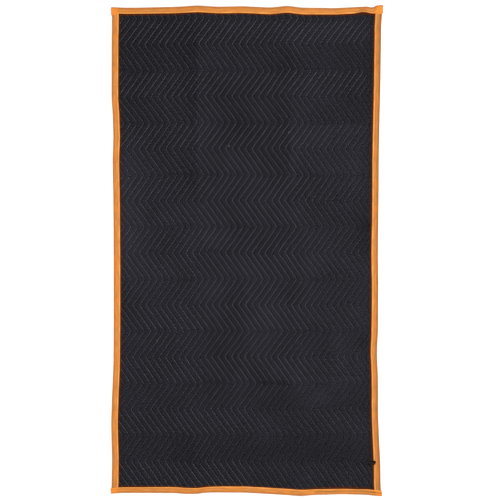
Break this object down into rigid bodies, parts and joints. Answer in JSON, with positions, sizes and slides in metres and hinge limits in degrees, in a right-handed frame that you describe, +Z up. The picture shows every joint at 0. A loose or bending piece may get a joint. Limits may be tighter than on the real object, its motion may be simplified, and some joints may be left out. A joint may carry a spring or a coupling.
{
  "type": "moving pad",
  "caption": "Flat rectangular quilted moving pad with chevron stitching and a folded tape binding lapped over at its corners.",
  "frame": {"origin": "on the floor under the middle of the pad's bounding box", "axes": "+X across the pad to its right edge in the picture, +Y along it to the edge at the top of the picture, +Z up from the floor"},
  "size_m": [1.022, 1.844, 0.013],
  "materials": {
    "cover_cloth": "matt black woven cover cloth, quilted with grey thread",
    "binding_tape": "matt orange binding tape, folded and sewn"
  },
  "bodies": {
    "root": {"quilted_pad": "cover_cloth", "binding_left": "binding_tape", "binding_right": "binding_tape", "binding_head": "binding_tape", "binding_foot": "binding_tape"}
  },
  "joints": []
}
